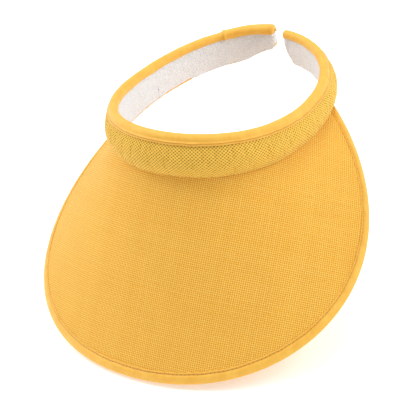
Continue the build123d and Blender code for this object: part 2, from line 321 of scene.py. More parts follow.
class Look:
    """A material's node tree, with short calls for its nodes."""

    def __init__(self, name, roughness, sheen=0.0, specular=0.3, sheen_tint=(1, 1, 1, 1)):
        self.mat = bpy.data.materials.new(name)
        self.mat.use_nodes = True
        self.tree = self.mat.node_tree
        self.shader = self.tree.nodes["Principled BSDF"]
        self.shader.inputs["Roughness"].default_value = roughness
        self.shader.inputs["Sheen Weight"].default_value = sheen
        self.shader.inputs["Sheen Tint"].default_value = sheen_tint
        self.shader.inputs["Sheen Roughness"].default_value = 0.5
        self.shader.inputs["Specular IOR Level"].default_value = specular
        self.uv = self.node("ShaderNodeTexCoord").outputs["UV"]

    def node(self, kind, inputs=(), **props):
        made = self.tree.nodes.new(kind)
        for key, value in props.items():
            setattr(made, key, value)
        for key, value in dict(inputs).items():
            if isinstance(value, bpy.types.NodeSocket):
                self.tree.links.new(value, made.inputs[key])
            else:
                made.inputs[key].default_value = value
        return made

    def math(self, operation, *values, clamp=False):
        made = self.node("ShaderNodeMath", enumerate(values), operation=operation, use_clamp=clamp)
        return made.outputs[0]

    def mix(self, factor, a, b):
        return self.node("ShaderNodeMix", {0: factor, 6: a, 7: b}, data_type="RGBA").outputs[2]

    def times(self, vector, factors):
        made = self.node("ShaderNodeVectorMath", {0: vector, 1: factors}, operation="MULTIPLY")
        return made.outputs[0]

    def noise(self, scale, detail=2.0, roughness=0.5, stretch=(1, 1, 1)):
        inputs = {"Vector": self.times(self.uv, stretch), "Scale": scale}
        inputs |= {"Detail": detail, "Roughness": roughness}
        return self.node("ShaderNodeTexNoise", inputs).outputs[0]

    def spread(self, value, low, high, start=0.3, end=0.7):
        made = self.node("ShaderNodeMapRange", {0: value, 1: start, 2: end, 3: low, 4: high})
        return made.outputs[0]

    def finish(self, colour, height, distance, strength=1.0):
        bump = self.node("ShaderNodeBump", {"Height": height, "Distance": distance, "Strength": strength})
        self.tree.links.new(bump.outputs[0], self.shader.inputs["Normal"])
        self.tree.links.new(colour, self.shader.inputs["Base Color"])
        return self.mat

    def shade(self, colour, factor):
        """The colour made brighter or darker by a factor that varies."""
        grey = self.node("ShaderNodeCombineXYZ", {0: factor, 1: factor, 2: factor}).outputs[0]
        return self.times(colour, grey)


THREAD_WANDER = 0.20  # how far a thread strays from straight, in pitches
THREAD_DIP = 0.38  # the share of a thread's height that it loses under the ones across it


def weave_look(name, pitch, bias, hole, dark, light, width, bump):
    """Plain-woven cloth: each thread passes over and under the ones across it. hole is the colour
    between the threads, and width a thread's width in pitches."""
    look = Look(name, 0.78, sheen=0.25, specular=0.22, sheen_tint=srgb(255, 236, 180))
    m = look.math
    split = look.node("ShaderNodeSeparateXYZ", {0: look.uv})
    u, v = split.outputs[0], split.outputs[1]
    if bias:
        k = 1 / (pitch * math.sqrt(2))
        x, y = m("MULTIPLY", m("ADD", u, v), k), m("MULTIPLY", m("SUBTRACT", u, v), k)
    else:
        x, y = m("DIVIDE", u, pitch), m("DIVIDE", v, pitch)
    drift = look.noise(0.05, 2.0)
    x = m("ADD", x, m("MULTIPLY", look.noise(0.22, 2.0, stretch=(1, 0.5, 1)), THREAD_WANDER))
    y = m("ADD", y, m("MULTIPLY", look.noise(0.20, 2.0, stretch=(0.5, 1, 1)), THREAD_WANDER))
    heights, tones = [], []
    for here, across, sign in ((x, y, 1.0), (y, x, -1.0)):
        whole = m("FLOOR", here)
        c = m("DIVIDE", m("SUBTRACT", m("SUBTRACT", here, whole), 0.5), width / 2)
        rounded = m("SQRT", m("MAXIMUM", m("SUBTRACT", 1.0, m("MULTIPLY", c, c)), 0.0))
        parity = m("MULTIPLY", m("COSINE", m("MULTIPLY", whole, math.pi)), sign)
        wave = m("COSINE", m("MULTIPLY", m("SUBTRACT", across, 0.5), math.pi))
        over = m("ADD", 1 - THREAD_DIP, m("MULTIPLY", m("MULTIPLY", wave, parity), THREAD_DIP))
        heights.append(m("MULTIPLY", rounded, over))
        tones.append(look.node("ShaderNodeTexWhiteNoise", {"W": whole}, noise_dimensions="1D").outputs[0])
    height = m("MAXIMUM", *heights)
    upper = m("GREATER_THAN", heights[0], heights[1])
    tone = m("ADD", m("MULTIPLY", upper, tones[0]), m("MULTIPLY", m("SUBTRACT", 1.0, upper), tones[1]))
    slub = look.noise(0.9, 3.0, 0.6)
    fibre = look.noise(7.0, 3.0, 0.7)
    varied = m("ADD", m("MULTIPLY", tone, 0.12), m("MULTIPLY", slub, 0.88))
    thread = look.mix(look.spread(varied, 0, 1, 0.2, 0.8), dark, light)
    colour = look.mix(look.spread(height, 0, 1, 0.18, 0.72), hole, thread)
    colour = look.shade(colour, look.spread(drift, 0.985, 1.015))
    return look.finish(colour, m("ADD", height, m("MULTIPLY", fibre, 0.12)), bump)


SEAM_V, SEAM_SHADE_REACH = 2.15, 0.75  # the stitched line's place on a tape, and the half width of the painted shade along it, in mm
SATIN_RIB = 0.45


def satin_look(name, dark, light):
    """Smooth, finely woven bias tape, with painted shade darkening the crease of its stitched line."""
    look = Look(name, 0.42, sheen=0.20, specular=0.42, sheen_tint=srgb(255, 236, 180))
    m = look.math
    split = look.node("ShaderNodeSeparateXYZ", {0: look.uv})
    u, v = split.outputs[0], split.outputs[1]
    k = 2 * math.pi / (SATIN_RIB * math.sqrt(2))
    rise, fall = m("SINE", m("MULTIPLY", m("ADD", u, v), k)), m("SINE", m("MULTIPLY", m("SUBTRACT", u, v), k))
    ribs = m("MULTIPLY", rise, fall)
    creases = look.noise(0.35, 3.0, 0.55, stretch=(1.0, 0.35, 1))
    colour = look.mix(look.spread(look.noise(0.11, 3.0, 0.6), 0, 1), dark, light)
    colour = look.shade(colour, m("ADD", look.spread(creases, 0.97, 1.02), m("MULTIPLY", ribs, 0.02)))
    # painted shade: the colour turns dark orange along the stitched line, standing in for the shade in its
    # groove
    off = m("ABSOLUTE", m("SUBTRACT", v, SEAM_V))
    colour = look.mix(look.spread(off, SEAM_SHADE_REACH, 0, 0.15, 0.75), colour, srgb(190, 122, 6))
    height = m("ADD", m("MULTIPLY", ribs, 0.10), m("MULTIPLY", creases, 1.2))
    return look.finish(colour, height, 0.00028)


def terry_look(name):
    """Looped towelling."""
    look = Look(name, 0.93, sheen=0.45, specular=0.12)
    m = look.math
    cells = {"Vector": look.uv, "Scale": 1.15, "Randomness": 0.9}
    loops = look.node("ShaderNodeTexVoronoi", cells).outputs[0]
    patches = look.noise(0.16, 3.0, 0.6)
    fuzz = look.noise(3.2, 3.0, 0.7)
    colour = look.mix(look.spread(loops, 1, 0, 0.12, 0.75), srgb(224, 225, 228), srgb(246, 248, 252))
    colour = look.mix(look.spread(patches, 0, 0.30), colour, srgb(236, 235, 234))
    height = m("ADD", m("MULTIPLY", loops, -1.0), m("MULTIPLY", fuzz, 0.5))
    return look.finish(colour, height, 0.00045)


def plain_look(name, dark, light, roughness, scale, grain):
    """One material in two close tones, with a fine grain."""
    look = Look(name, roughness, specular=0.4)
    spots = look.noise(scale, 4.0, 0.65)
    return look.finish(look.mix(look.spread(spots, 0, 1), dark, light), spots, grain)


THREAD_TWIST = 0.45


def thread_look(name):
    """Twisted sewing thread."""
    look = Look(name, 0.45, sheen=0.3, specular=0.4, sheen_tint=srgb(255, 236, 180))
    split = look.node("ShaderNodeSeparateXYZ", {0: look.uv})
    along = look.math("ADD", *split.outputs[:2])
    twist = look.math("SINE", look.math("MULTIPLY", along, 2 * math.pi / THREAD_TWIST))
    colour = look.mix(look.spread(twist, 0, 1, -1, 1), srgb(236, 168, 58), srgb(255, 208, 104))
    return look.finish(colour, twist, 0.00006)


BAND_PITCH, BRIM_PITCH = 1.66, 1.5
BAND_TONES = (srgb(112, 74, 4), srgb(236, 176, 52), srgb(255, 214, 100))
BRIM_TONES = (srgb(178, 104, 2), srgb(241, 168, 40), srgb(255, 213, 106))
band_look = weave_look("band_weave", BAND_PITCH, True, *BAND_TONES, 0.84, 0.00030)
brim_look = weave_look("brim_weave", BRIM_PITCH, False, *BRIM_TONES, 0.88, 0.00030)
tape_look = satin_look("satin_tape", srgb(240, 178, 60), srgb(247, 192, 76))
terry = terry_look("white_terry")
thread = thread_look("yellow_thread")
foam_look = plain_look("grey_foam", srgb(188, 184, 172), srgb(214, 210, 198), 0.9, 1.6, 0.0003)
strip_look = plain_look("spring_strip", srgb(38, 38, 40), srgb(58, 58, 62), 0.35, 0.6, 0.00002)
board_look = plain_look("brim_board", srgb(206, 204, 196), srgb(222, 220, 212), 0.55, 0.8, 0.00005)


# ---------------------------------------------------------------- the band's outer cloth
FACE_TOP, FACE_ARCH, FACE_FOLD = 0.04, 0.80, 0.91  # where the straight, arched and folded rows end
END_ROUND = 3.4  # the cover starts to round off this far before an arm's end
END_PAST = -1.0  # where the cover stops, past the arm's end if positive
END_TUCK = 1.6  # the offset that it is drawn in to, behind the terry


def cloth_edge(t):
    """Reach and drop of the lower fold, the depth of the cloth's lower edge, and how far in it turns."""
    arm = smooth((np.abs(t) - 125) / 9)
    h = band_bottom(t, -END_PAST)
    front_bottom = h - 0.3 - 0.9 * np.sin(brim_turn(np.clip(t, -BRIM_END_T, BRIM_END_T))) ** 2
    reach, drop = 0.9 + arm * 1.3, 1.7 + arm * 0.5
    bottom = front_bottom + arm * (h - front_bottom)
    hem = 1.75 + arm * (TERRY_OUTER + 0.2 - 1.75)
    return reach, drop, bottom, hem


def face_path(t, p):
    """Offset and depth on the outer cloth at angle t and share p of the way down its face."""
    t, p = np.broadcast_arrays(t, p)
    reach, drop, bottom, hem = cloth_edge(t)
    fold_depth = bottom - drop
    q = np.clip((p - FACE_TOP) / (FACE_ARCH - FACE_TOP), 0, 1)
    depth = SWELL_TOP + q * (fold_depth - SWELL_TOP)
    out = FABRIC_FACE + swell(t, depth)
    low = p < FACE_TOP
    depth = np.where(low, LAYER_TOP + (SWELL_TOP - LAYER_TOP) * p / FACE_TOP, depth)
    out = np.where(low, FABRIC_FACE, out)
    face = FABRIC_FACE + swell(t, fold_depth)
    angle = np.clip((p - FACE_ARCH) / (FACE_FOLD - FACE_ARCH), 0, 1) * np.pi / 2
    fold = p > FACE_ARCH
    out = np.where(fold, face - reach + reach * np.cos(angle), out)
    depth = np.where(fold, fold_depth + drop * np.sin(angle), depth)
    under = np.clip((p - FACE_FOLD) / (1 - FACE_FOLD), 0, 1)
    out = np.where(p > FACE_FOLD, (face - reach) + (hem - face + reach) * under, out)
    return out, depth


def end_round(t, out):
    """Draws the outer face in over the last of the arm, to where the terry's edge covers it."""
    past = np.clip((END_ROUND - end_distance(t)) / (END_ROUND + END_PAST), 0, 1)
    drawn = END_TUCK + (out - END_TUCK) * np.sqrt(np.maximum(0.0, 1 - past**2.2))
    return np.where(out > END_TUCK, drawn, out)


def face_points(t, p):
    """Places on the outer cloth's face."""
    out, depth = face_path(t, p)
    return at(t, end_round(t, out), depth)


ARM_CLOTH_END = ARM_END_T + math.degrees(END_PAST / END_RADIUS)
SIM_P = np.linspace(0, 1, 27)
SIM_T = stations(-ARM_CLOTH_END, ARM_CLOTH_END, 1.6)
SIM_SCALE, SIM_FRAMES, SIM_HELD_ROWS = 10.0, 18, 5


def puff():
    """Cloth simulation of the padded cover: an oversize cloth, held at its seams, swells over the
    foam. Gives how far each point moved, in mm."""
    rest = face_points(SIM_T[:, None], SIM_P[None, :])
    n, k = rest.shape[:2]
    obj = make_mesh("sim_cloth", rest * SIM_SCALE, np.zeros((n, k, 2)), False, (), band_look)
    held = obj.vertex_groups.new(name="held")
    rows = np.zeros((n, k), bool)
    rows[:, :SIM_HELD_ROWS] = rows[:, -SIM_HELD_ROWS:] = rows[:2] = rows[-2:] = True
    held.add(np.flatnonzero(rows.ravel()).tolist(), 1.0, "REPLACE")
    cloth = obj.modifiers.new("Cloth", "CLOTH")
    s = cloth.settings
    s.quality = 5
    s.mass = 0.2
    s.tension_stiffness = s.compression_stiffness = 12.0
    s.shear_stiffness = 5.0
    s.bending_stiffness = 0.3
    s.air_damping = 2.0
    s.vertex_group_mass = "held"
    s.shrink_min = -0.025
    s.use_pressure = True
    s.uniform_pressure_force = 4.0
    s.effector_weights.gravity = 0.0
    scene = bpy.context.scene
    for step in range(1, SIM_FRAMES + 1):
        scene.frame_set(step)
    shown = obj.evaluated_get(bpy.context.evaluated_depsgraph_get())
    co = np.zeros(n * k * 3, np.float32)
    shown.data.vertices.foreach_get("co", co)
    moved = co.reshape(n, k, 3) / (MM * SIM_SCALE) - rest
    bpy.data.objects.remove(obj)
    scene.frame_set(1)
    return (moved * normals(rest)).sum(2)


def sample(grid, t, p):
    """The simulated grid read at angles t and shares p."""
    x = np.interp(arc(t), arc(SIM_T), np.arange(len(SIM_T)))
    y = np.interp(p, SIM_P, np.arange(len(SIM_P)))
    x, y = np.broadcast_arrays(x, y)
    i, j = np.minimum(x.astype(int), grid.shape[0] - 2), np.minimum(y.astype(int), grid.shape[1] - 2)
    a, b = smooth(x - i), smooth(y - j)
    top = grid[i, j] * (1 - b) + grid[i, j + 1] * b
    low = grid[i + 1, j] * (1 - b) + grid[i + 1, j + 1] * b
    return top * (1 - a) + low * a


def weave_height(u, v, pitch, width):
    """The plain weave's relief in real geometry, 0 to 1, cut on the bias."""
    x, y = (u + v) / (pitch * math.sqrt(2)), (u - v) / (pitch * math.sqrt(2))
    heights = []
    for here, across, sign in ((x, y, 1), (y, x, -1)):
        whole = np.floor(here)
        c = (here - whole - 0.5) / (width / 2)
        rounded = np.sqrt(np.maximum(0, 1 - c * c))
        over = sign * np.cos(np.pi * whole) * np.cos(np.pi * (across - 0.5))
        heights.append(rounded * (1 - THREAD_DIP + THREAD_DIP * over))
    return np.maximum(*heights)


puffed = puff()
FACE_P = np.concatenate([
    np.linspace(0, FACE_TOP, 4)[:-1],
    np.linspace(FACE_TOP, FACE_ARCH, 78)[:-1],
    np.linspace(FACE_ARCH, FACE_FOLD, 10)[:-1],
    np.linspace(FACE_FOLD, 1, 6),
])
BACK_P = np.concatenate([
    [1.0, FACE_FOLD, (FACE_ARCH + FACE_FOLD) / 2],
    np.linspace(FACE_ARCH, FACE_TOP, 9),
    [0.0],
])
WEAVE_RELIEF, SLACK, SWELL_LIMITS = 0.14, 0.16, (-0.3, 0.9)


def cloth_section(t):
    """The padded cover: its woven face, swollen by the simulation, and its plain back."""
    t = t[:, None]
    out, depth = face_path(t, FACE_P[None, :])
    face = at(t, end_round(t, out), depth)
    n = normals(face)
    u = np.repeat(arc(t), face.shape[1], 1)
    v = lengths(face)
    shown = smooth((FACE_P - 0.08) / 0.04) * smooth((0.985 - FACE_P) / 0.05)
    lift = WEAVE_RELIEF * weave_height(u, v, BAND_PITCH, 0.86) * shown
    lift = lift + SLACK * ripple(u, v, 14, 40, 5) * shown
    if puffed is not None:
        lift = lift + np.clip(sample(puffed, t, FACE_P[None, :]), *SWELL_LIMITS)
    face = face + n * lift[..., None]
    out, depth = face_path(t, BACK_P[None, :])
    inner = at(t, end_round(t, out), depth)
    inner_n = normals(inner[:, ::-1])[:, ::-1]
    inner = inner - inner_n * CLOTH
    points = np.concatenate([face, inner], 1)
    return points, loop_uv(t[:, 0], points)


covered = ("end_facing",)
covers = ring_pieces(
    "band_cloth", cloth_section, band_look, "outer_fabric", 0.42, ARM_CLOTH_END, covered
)


# ---------------------------------------------------------------- foam, spring strip, terry
def block_section(path):
    """The section of a plain layer, from the function that gives its outline."""

    def section(t):
        t = t[:, None]
        out, depth = path(t)
        out, depth = np.broadcast_arrays(out, depth)
        points = at(t, out, depth)
        return points, loop_uv(t[:, 0], points)

    return section


def foam_path(t):
    arm = smooth((np.abs(t) - 132) / 4)
    bottom = band_bottom(t) - (ALLOWANCE + 2.6) * (1 - arm) - FILLING_MARGIN * arm
    q = np.linspace(0, 1, 14)[None, :]
    depth = SWELL_TOP + (bottom - SWELL_TOP) * q
    out = FOAM_OUTER - 0.15 + 0.95 * swell(t, depth)
    ones = np.ones_like(t)
    outs = [ones * (FOAM_OUTER - 0.15), out, ones * FOAM_INNER, ones * FOAM_INNER]
    depths = [ones * FILLING_TOP, depth, bottom, ones * FILLING_TOP]
    return np.concatenate(outs, 1), np.concatenate(depths, 1)


def strip_path(t):
    bottom = band_bottom(t) - FILLING_MARGIN
    ones = np.ones_like(t)
    outs = [ones * CORE_OUTER, ones * CORE_OUTER, ones * CORE_INNER, ones * CORE_INNER]
    depths = [ones * FILLING_TOP, bottom, bottom, ones * FILLING_TOP]
    return np.concatenate(outs, 1), np.concatenate(depths, 1)


FILLING_END = ARM_END_T - 1
for piece in ring_pieces("foam", block_section(foam_path), foam_look, "foam_pad", 2.5, FILLING_END):
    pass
strip = block_section(strip_path)
ring_pieces("spring_strip", strip, strip_look, "spring_core", 2.5, FILLING_END)


# the terry turns over the arm's end round a line at this offset, from this far before the end
WRAP_CENTRE, WRAP_START = -0.9, 1.9
WRAP_RADIUS = WRAP_CENTRE - TERRY_INNER
TERRY_WRAP = WRAP_RADIUS * math.pi / 2 + 3.0
TERRY_END = ARM_END_T + math.degrees((TERRY_WRAP - WRAP_START) / END_RADIUS)


def wrapped(t, out):
    """Angle and offset of the terry, with what runs past the arm's end turned outwards over it."""
    past = np.maximum(0.0, WRAP_START - end_distance(t))
    angle = np.minimum(past / WRAP_RADIUS, math.pi / 2)
    radius = WRAP_CENTRE - out
    turned = WRAP_CENTRE - radius * np.cos(angle) + np.maximum(0.0, past - WRAP_RADIUS * math.pi / 2)
    end = np.sign(t) * (ARM_END_T + np.degrees((radius * np.sin(angle) - WRAP_START) / END_RADIUS))
    return np.where(past > 0, end, t), np.where(past > 0, turned, out)


TERRY_LIP, TERRY_ROWS = 0.5, 46
# the stitched groove near an arm's end: its distance, half width and height
CREASE_AT, CREASE_WIDTH, CREASE_LIFT = 3.4, 0.45, 0.34


def terry_section(t):
    """The sweatband: its looped face, a rounded lower edge and a plain back."""
    t = t[:, None]
    bottom = band_bottom(wrapped(t, TERRY_INNER)[0]) - 0.1 + 0.20 * ripple(arc(t), 0 * t, 14, 50, 11)
    bottom = bottom - FRONT_TERRY_MARGIN * smooth((134 - np.abs(t)) / 7)
    reach = bottom - LAYER_TOP - TERRY_LIP
    face_depth = LAYER_TOP + reach * np.linspace(0, 1, TERRY_ROWS)[None, :]
    bow = np.clip((face_depth - IN_DEPTH) / (bottom - IN_DEPTH), 0, 1)
    face_out = TERRY_INNER - TERRY_SWELL * 4 * bow * (1 - bow)
    angle = np.linspace(0, np.pi, 7)[None, 1:-1]
    lip_out = (TERRY_INNER + TERRY_OUTER) / 2 - TERRY_LIP * np.cos(angle)
    lip_depth = bottom - TERRY_LIP + TERRY_LIP * np.sin(angle)
    back_depth = LAYER_TOP + reach * np.linspace(1, 0, 5)[None, :]
    turned = (len(t), 5)
    out = np.concatenate([face_out, np.broadcast_to(lip_out, turned), np.full(turned, TERRY_OUTER)], 1)
    depth = np.concatenate([face_depth, lip_depth, back_depth], 1)
    off = end_distance(t) - CREASE_AT - 1.2 * (depth / 20 - 0.6) ** 2
    crease = CREASE_LIFT * np.exp(-((off / CREASE_WIDTH) ** 2)) * smooth((depth - 6) / 2)
    points = at(*wrapped(t, out + crease), depth)
    n = normals(points)
    u = np.repeat(arc(t), points.shape[1], 1)
    v = lengths(points)
    nubs = 0.16 * ripple(u, v, 1.3, 2.6, 3, 26) + 0.12 * ripple(u, v, 6, 15, 8)
    nubs[:, TERRY_ROWS:] *= np.linspace(1, 0, 10)[None, :] ** 2
    points = points - n * (nubs * smooth((depth - 4.2) / 1.2))[..., None]
    return points, loop_uv(t[:, 0], points)


for piece in ring_pieces("terry_band", terry_section, terry, "terry_sweatband", 0.6, TERRY_END):
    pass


# ---------------------------------------------------------------- rolled binding on the top edge
# the tape's rounded end: its length, and how far before the arm's end it starts
NOSE, NOSE_START = 2.4, 0.9
STITCH_DEPTH, STITCH_PITCH = OUT_DEPTH - 1.5, 3.1
TAPE_LIP = 0.30
LIP_ANGLE = np.linspace(-0.5 * np.pi, 0.5 * np.pi, 5)[None, :]
OUTER_ROWS, INNER_ROWS = np.linspace(0, 1, 16)[None, 1:], np.linspace(0, 1, 6)[None, 1:]
OVER, UNDER = np.linspace(0, np.pi, 25)[None, 1:], np.linspace(np.pi, 0, 13)[None, :]
TAPE_FACE = LIP_ANGLE.shape[1] + OUTER_ROWS.shape[1] + OVER.shape[1]  # columns on the tape's face


def tape_lean(depth):
    """How far the outer leg of the tape leans out at this depth."""
    return TAPE_FLARE * (depth - BEAD_RADIUS) / (OUT_DEPTH - BEAD_RADIUS)


def tape_section(rise=0.0, seed=21, up=0.0):
    """The folded tape's closed section: up the outside, over the crest and down the inside, with
    turned lips, then back inside it. rise lays it over another turn, and up moves it up."""

    def section(t):
        t = t[:, None]
        u = arc(t)
        past = np.clip((NOSE_START - end_distance(t)) / NOSE, 0, 1)
        shrink = np.sqrt(1 - 0.98 * past**2)
        outer = (BEAD_RADIUS + rise) * shrink
        inner = (BEAD_RADIUS - TOP_TAPE + rise) * shrink
        flare = TAPE_FLARE * shrink
        out_depth = OUT_DEPTH - TAPE_LIP + 0.16 * ripple(u, 0 * u, 6, 20, seed)
        in_depth = IN_DEPTH - TAPE_LIP + 0.20 * ripple(u, 0 * u, 6, 20, seed + 1)
        neck = BEAD_RADIUS + 0.3
        out_depth, in_depth = [neck + (x - neck) * shrink for x in (out_depth, in_depth)]
        lip_in, lip_down = TAPE_LIP * np.sin(LIP_ANGLE), TAPE_LIP * np.cos(LIP_ANGLE)
        legs = [
            (outer + flare - TAPE_LIP + lip_in, out_depth + lip_down),
            (outer + flare * (1 - OUTER_ROWS), out_depth + (BEAD_RADIUS - out_depth) * OUTER_ROWS),
            (outer * np.cos(OVER), BEAD_RADIUS - outer * np.sin(OVER)),
            (-outer + 0 * INNER_ROWS, BEAD_RADIUS + (in_depth - BEAD_RADIUS) * INNER_ROWS),
            (-outer + TAPE_LIP - lip_in, in_depth + lip_down),
            (inner * np.cos(UNDER), BEAD_RADIUS - inner * np.sin(UNDER)),
            (inner + flare * 0.8, out_depth - 0.6),
        ]
        out, depth = [np.concatenate([np.broadcast_to(leg[i], (len(t), leg[i].shape[1])) for leg in legs], 1)
                      for i in (0, 1)]
        points = at(t, out, depth - up)
        v = lengths(points)[:, :TAPE_FACE]
        flat_u = np.repeat(u, TAPE_FACE, 1)
        below, outside = depth[:, :TAPE_FACE] - STITCH_DEPTH, out[:, :TAPE_FACE] > 0
        groove = (np.exp(-((below / 0.6) ** 2)) - 0.45 * np.exp(-(((below - 1.0) / 0.5) ** 2))) * outside
        pull = 0.5 + 0.5 * np.cos(2 * np.pi * flat_u / STITCH_PITCH)
        waves = 0.05 * ripple(flat_u, v, 5, 16, seed + 2, stretch=0.6)
        waves = waves + 0.09 * ripple(flat_u, v, 16, 50, seed + 3)
        gather = np.zeros(points.shape[:2])
        gather[:, :TAPE_FACE] = waves - groove * (0.42 + 0.12 * pull)
        gather[:, :3] = 0
        points = points + normals(points) * gather[..., None]
        return points, loop_uv(t[:, 0], points)

    return section


nose_end = ARM_END_T + math.degrees((NOSE - NOSE_START) / END_RADIUS)
ring_pieces("top_tape", tape_section(), tape_look, "top_binding", 0.75, end=nose_end)

OVERLAP_RISE, OVERLAP_GROWTH, OVERLAP_UP = 0.62, 0.25, 0.7


def overlap_rise(t):
    """How far the second turn of tape stands off the ring, which grows towards the arm's end."""
    fold = 0.45 * np.exp(-(((OVERLAP_T[0] - t - 1.0) / 1.0) ** 2))
    return OVERLAP_RISE + fold + OVERLAP_GROWTH * smooth((OVERLAP_T[0] - t) / (OVERLAP_T[0] - OVERLAP_T[1]))


t = with_nose(stations(OVERLAP_T[0], -nose_end, 0.6))
step = smooth((OVERLAP_T[0] - t) / 0.9)
up = OVERLAP_UP * smooth((OVERLAP_T[0] - t) / (OVERLAP_T[0] - OVERLAP_T[1]))
points, uv = tape_section((overlap_rise(t) * (0.2 + 0.8 * step))[:, None], 31, up[:, None])(t)
overlap = make_mesh("right_tape_overlap", points, uv, True, (0, 1), tape_look, flip=True)
blended(overlap, -1)
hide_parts("right_binding_overlap")


STITCH_RINGS, STITCH_SIDES, STITCH_DIP = 9, 8, 0.28
STITCH_LENGTH, STITCH_RADIUS = 2.3, 0.20


def stitches(name, place, centres):
    """A row of modelled stitches. place(t, across, lift) is a point on the cloth's face."""
    s = np.linspace(-1, 1, STITCH_RINGS)
    a = np.linspace(0, 2 * np.pi, STITCH_SIDES, endpoint=False)
    size = STITCH_RADIUS * np.sqrt(np.maximum(0.02, 1 - s**6))
    height = STITCH_RADIUS * 0.6 - STITCH_DIP * np.abs(s) ** 5
    middle = arc(centres)[:, None] + s[None, :] * STITCH_LENGTH / 2
    t = np.interp(middle, ARC, FINE_T)[..., None]
    across = (size[:, None] * np.cos(a))[None]
    lift = (height[:, None] + size[:, None] * np.sin(a))[None]
    shape = (len(centres), STITCH_RINGS, STITCH_SIDES)
    grid = place(*[np.broadcast_to(x, shape) for x in (t, across, lift)])
    verts, faces, uvs = grid.reshape(-1, 3) * MM, [], []
    along, around = STITCH_LENGTH / (STITCH_RINGS - 1), 0.15
    for base in range(0, len(verts), STITCH_RINGS * STITCH_SIDES):
        for j in range(STITCH_RINGS - 1):
            low = base + j * STITCH_SIDES
            high = low + STITCH_SIDES
            for k in range(STITCH_SIDES):
                after = (k + 1) % STITCH_SIDES
                faces.append([low + k, low + after, high + after, high + k])
                uvs += [(j * along, k * around), (j * along, (k + 1) * around)]
                uvs += [((j + 1) * along, (k + 1) * around), ((j + 1) * along, k * around)]
        first = list(range(base, base + STITCH_SIDES))
        faces += [first[::-1], list(range(high, high + STITCH_SIDES))]
        uvs += [(0, 0)] * (2 * STITCH_SIDES)
    data = bpy.data.meshes.new(name)
    data.from_pydata(verts.tolist(), [], faces)
    data.uv_layers.new(name="UVMap").data.foreach_set("uv", np.array(uvs, np.float32).ravel())
    data.polygons.foreach_set("use_smooth", np.ones(len(faces), bool))
    data.materials.append(thread)
    mesh = bmesh.new()
    mesh.from_mesh(data)
    bmesh.ops.recalc_face_normals(mesh, faces=mesh.faces)
    mesh.to_mesh(data)
    mesh.free()
    obj = bpy.data.objects.new(name, data)
    bpy.context.scene.collection.objects.link(obj)
    return obj


def top_place(t, across, lift):
    """Places along the top tape's stitched line, in the groove that it has there."""
    over = smooth((OVERLAP_T[0] + 0.4 - t) / 0.8)
    depth = STITCH_DEPTH + across
    return at(t, BEAD_RADIUS + tape_lean(depth) - 0.34 + lift + over * overlap_rise(t), depth)


for name, side in SIDES.items():
    low, high = (-SPLIT_T, SPLIT_T) if side == 0 else sorted((side * SPLIT_T, side * (ARM_END_T - 1.0)))
    first = math.ceil(arc(low) / STITCH_PITCH - 0.5)
    last = math.floor(arc(high) / STITCH_PITCH - 0.5)
    places = np.interp((np.arange(first, last + 1) + 0.5) * STITCH_PITCH, ARC, FINE_T)
    row = stitches(f"{name}_tape_stitches", top_place, places)
    attach(row, side)
    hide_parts(f"{name}_binding_thread")


# ---------------------------------------------------------------- brim
def brim_stations(spacing):
    """Angles whose places on the brim's outer edge are evenly spaced."""
    t = np.linspace(-BRIM_END_T, BRIM_END_T, 2001)
    edge = brim_at(t, brim_width(t), 0.0)
    s = np.concatenate([[0], np.cumsum(np.linalg.norm(np.diff(edge, axis=0), axis=1))])
    return np.interp(np.linspace(0, s[-1], round(s[-1] / spacing) + 1), s, t)


def unrolled(t, near, far):
    """The brim's straight lines laid flat, one after the other from the middle."""
    count = len(t)
    flat_near, flat_far = np.zeros((count, 2)), np.zeros((count, 2))
    middle = count // 2
    flat_far[middle] = (0, -np.linalg.norm(far[middle] - near[middle]))

    def third(a, b, da, db, side):
        gap = b - a
        d = np.linalg.norm(gap)
        along = (da**2 - db**2 + d**2) / (2 * d)
        off = math.sqrt(max(0.0, da**2 - along**2))
        e = gap / d
        return a + e * along + side * off * np.array([-e[1], e[0]])

    for step in (1, -1):
        i, size = middle, np.linalg.norm
        while 0 <= i + step < count:
            j = i + step
            sides = size(far[j] - near[i]), size(far[j] - far[i])
            flat_far[j] = third(flat_near[i], flat_far[i], *sides, step)
            sides = size(near[j] - near[i]), size(near[j] - far[j])
            flat_near[j] = third(flat_near[i], flat_far[j], *sides, step)
            i = j
    return flat_near, flat_far


BRIM_ROWS, TURNED_ROWS, BEND_ROWS = 110, 4, 6


